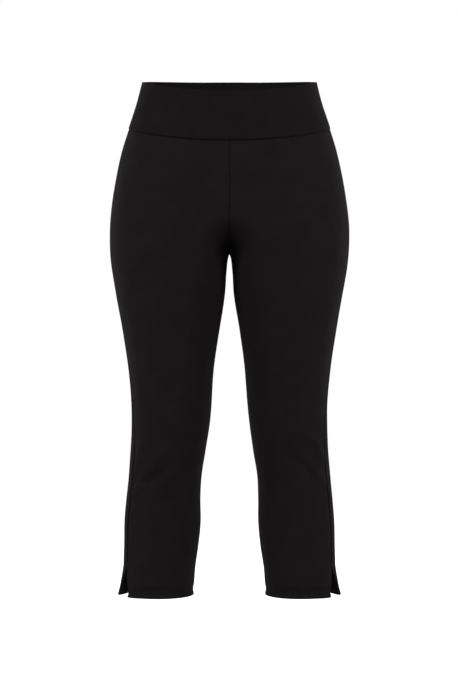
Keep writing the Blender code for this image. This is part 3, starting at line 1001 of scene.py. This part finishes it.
class LEGGINGS_OT_turnings(bpy.types.Operator):
    """Press the seams' turnings flat inside"""

    bl_idname = "leggings.turnings"
    bl_label = "Seam turnings"

    def execute(self, context):
        levels = panel_levels()
        above = levels[levels >= CROTCH_Z]
        below = levels[(levels < CROTCH_Z) & (levels > HEM_Z + HEM_STEPS[-1])]
        for leg, side in LEG_NODES:
            runs = (
                ("side", False, levels[levels > VENT_TOP_Z + 2], TURNING_FROM, TURNING_TO),
                ("inseam", False, below, -TURNING_TO, -TURNING_FROM),
            )
            for word, at_front, rows, first, last in runs:
                walls = turning_walls(side, at_front, rows, first, last)
                piece = wall_piece(f"{word}_turning_{leg}", walls, (side > 0) == at_front, leg_jersey())
                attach(piece, "root")
        for word, at_front in (("front", True), ("back", False)):
            walls = turning_walls(1, at_front, above, -TURNING_TO, -TURNING_FROM)
            piece = wall_piece(f"{word}_rise_turning", walls, at_front, leg_jersey())
            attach(piece, "root")
        return {"FINISHED"}


class LEGGINGS_OT_stitching(bpy.types.Operator):
    """Sew the hems and the vents"""

    bl_idname = "leggings.stitching"
    bl_label = "Stitching"

    def execute(self, context):
        for leg, side in LEG_NODES:
            runs = [hem_lines(side, at_front, row) for at_front in (True, False) for row in hem_rows()]
            runs += [vent_line(side, at_front) for at_front in (True, False)]
            runs.append(bar_tack(side))
            piece = stitches(f"hem_stitching_{leg}", runs, sewing_thread())
            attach(piece, "root")
        return {"FINISHED"}


class LEGGINGS_OT_studio(bpy.types.Operator):
    """Set the floor, the soft light and the camera"""

    bl_idname = "leggings.studio"
    bl_label = "Studio"

    def execute(self, context):
        scene, studio = context.scene, context.scene.leggings_studio
        add_camera(scene, studio)
        add_surround(scene, studio)
        add_floor(studio)
        add_softbox("back light", (0, 3.2, 1.3), BACK_AIM_Z, BACK_SIZE, studio.back_light)
        for word, way in LEG_NODES:
            for name, x, y, z, size, power in SOFTBOXES:
                add_softbox(f"{word} {name} light", (x * way, y, z), AIM_Z, size, getattr(studio, power))
        scene.view_settings.view_transform = "Standard"
        scene.view_settings.look = "None"
        return {"FINISHED"}


def add_camera(scene, studio):
    camera = bpy.data.cameras.new("camera")
    camera.lens = studio.lens
    camera.sensor_width = 36
    camera.clip_end = 60
    holder = new_object("camera", camera)
    holder.location = (studio.camera_side, -studio.camera_distance, studio.camera_height)
    holder.rotation_euler = (math.radians(90), 0, 0)
    scene.camera = holder


def add_surround(scene, studio):
    """Even light from all round, behind which the camera sees plain white."""
    world = bpy.data.worlds.new("surround")
    world.use_nodes = True
    scene.world = world
    tree = Tree(world.node_tree)
    light = tree.nodes["Background"]
    tree.fill(light, {"Color": (1, 1, 1, 1), "Strength": studio.surround})
    seen = tree.add("ShaderNodeBackground", {"Color": (1, 1, 1, 1), "Strength": 1.0})
    by_camera = tree.add("ShaderNodeLightPath").outputs["Is Camera Ray"]
    mix = tree.add("ShaderNodeMixShader", {"Fac": by_camera, 1: light.outputs[0], 2: seen.outputs[0]})
    tree.put(tree.nodes["World Output"].inputs["Surface"], mix.outputs[0])


def add_floor(studio):
    """A wide pale floor, which can be looked through from below."""
    size = 24.0
    corners = [(x * size, y * size, studio.floor_height) for x, y in ((-1, -1), (1, -1), (1, 1), (-1, 1))]
    mesh = bpy.data.meshes.new("floor")
    mesh.from_pydata(corners, [], [(0, 1, 2, 3)])
    material, tree, shader = new_material("pale floor")
    tree.fill(shader, {
        "Base Color": (0.45, 0.45, 0.45, 1),
        "Roughness": 1.0,
        "Specular IOR Level": 0,
        "Emission Color": (1, 1, 1, 1),
        "Emission Strength": tree.add("ShaderNodeLightPath").outputs["Is Camera Ray"],
    })
    clear = tree.add("ShaderNodeBsdfTransparent").outputs[0]
    from_below = tree.add("ShaderNodeNewGeometry").outputs["Backfacing"]
    mix = tree.add("ShaderNodeMixShader", {"Fac": from_below, 1: shader.outputs[0], 2: clear})
    tree.put(tree.nodes["Material Output"].inputs["Surface"], mix.outputs[0])
    mesh.materials.append(material)
    new_object("floor", mesh)


def add_softbox(name, place, aim_z, size, power):
    """A square soft light that faces a height on the middle line."""
    light = bpy.data.lights.new(name, "AREA")
    light.shape = "SQUARE"
    light.size = size
    light.energy = power
    holder = new_object(name, light)
    holder.location = place
    x, y, z = place
    holder.rotation_euler = (math.atan2(math.hypot(x, y), z - aim_z), 0, math.atan2(x, -y))
    holder.visible_camera = False


class LEGGINGS_PT_sidebar(bpy.types.Panel):
    """Sizes, colours and steps of the leggings"""

    bl_idname = "LEGGINGS_PT_sidebar"
    bl_label = "Leggings"
    bl_space_type = "VIEW_3D"
    bl_region_type = "UI"
    bl_category = "Leggings"

    def draw(self, context):
        for word, kind in SETTINGS.items():
            box = self.layout.box()
            box.label(text=word.removeprefix("leggings_").title())
            for name in kind.__annotations__:
                box.prop(getattr(context.scene, word), name)
        for step in STEPS:
            self.layout.operator(step.bl_idname)


STEPS = (
    LEGGINGS_OT_waistband,
    LEGGINGS_OT_leg_fronts,
    LEGGINGS_OT_leg_backs,
    LEGGINGS_OT_turnings,
    LEGGINGS_OT_stitching,
    LEGGINGS_OT_studio,
)
SETTINGS = {
    "leggings_cloth": LEGGINGS_PG_cloth,
    "leggings_dye": LEGGINGS_PG_dye,
    "leggings_stitch": LEGGINGS_PG_stitch,
    "leggings_studio": LEGGINGS_PG_studio,
}
CLASSES = (*SETTINGS.values(), *STEPS, LEGGINGS_PT_sidebar)


def register():
    for made in CLASSES:
        bpy.utils.register_class(made)
    for name, kind in SETTINGS.items():
        setattr(bpy.types.Scene, name, PointerProperty(type=kind))


def unregister():
    for name in SETTINGS:
        delattr(bpy.types.Scene, name)
    for made in reversed(CLASSES):
        bpy.utils.unregister_class(made)


def main():
    register()
    bpy.ops.leggings.waistband()
    bpy.ops.leggings.leg_fronts()
    bpy.ops.leggings.leg_backs()
    bpy.ops.leggings.turnings()
    bpy.ops.leggings.stitching()
    bpy.ops.leggings.studio()


if __name__ == "__main__":
    main()
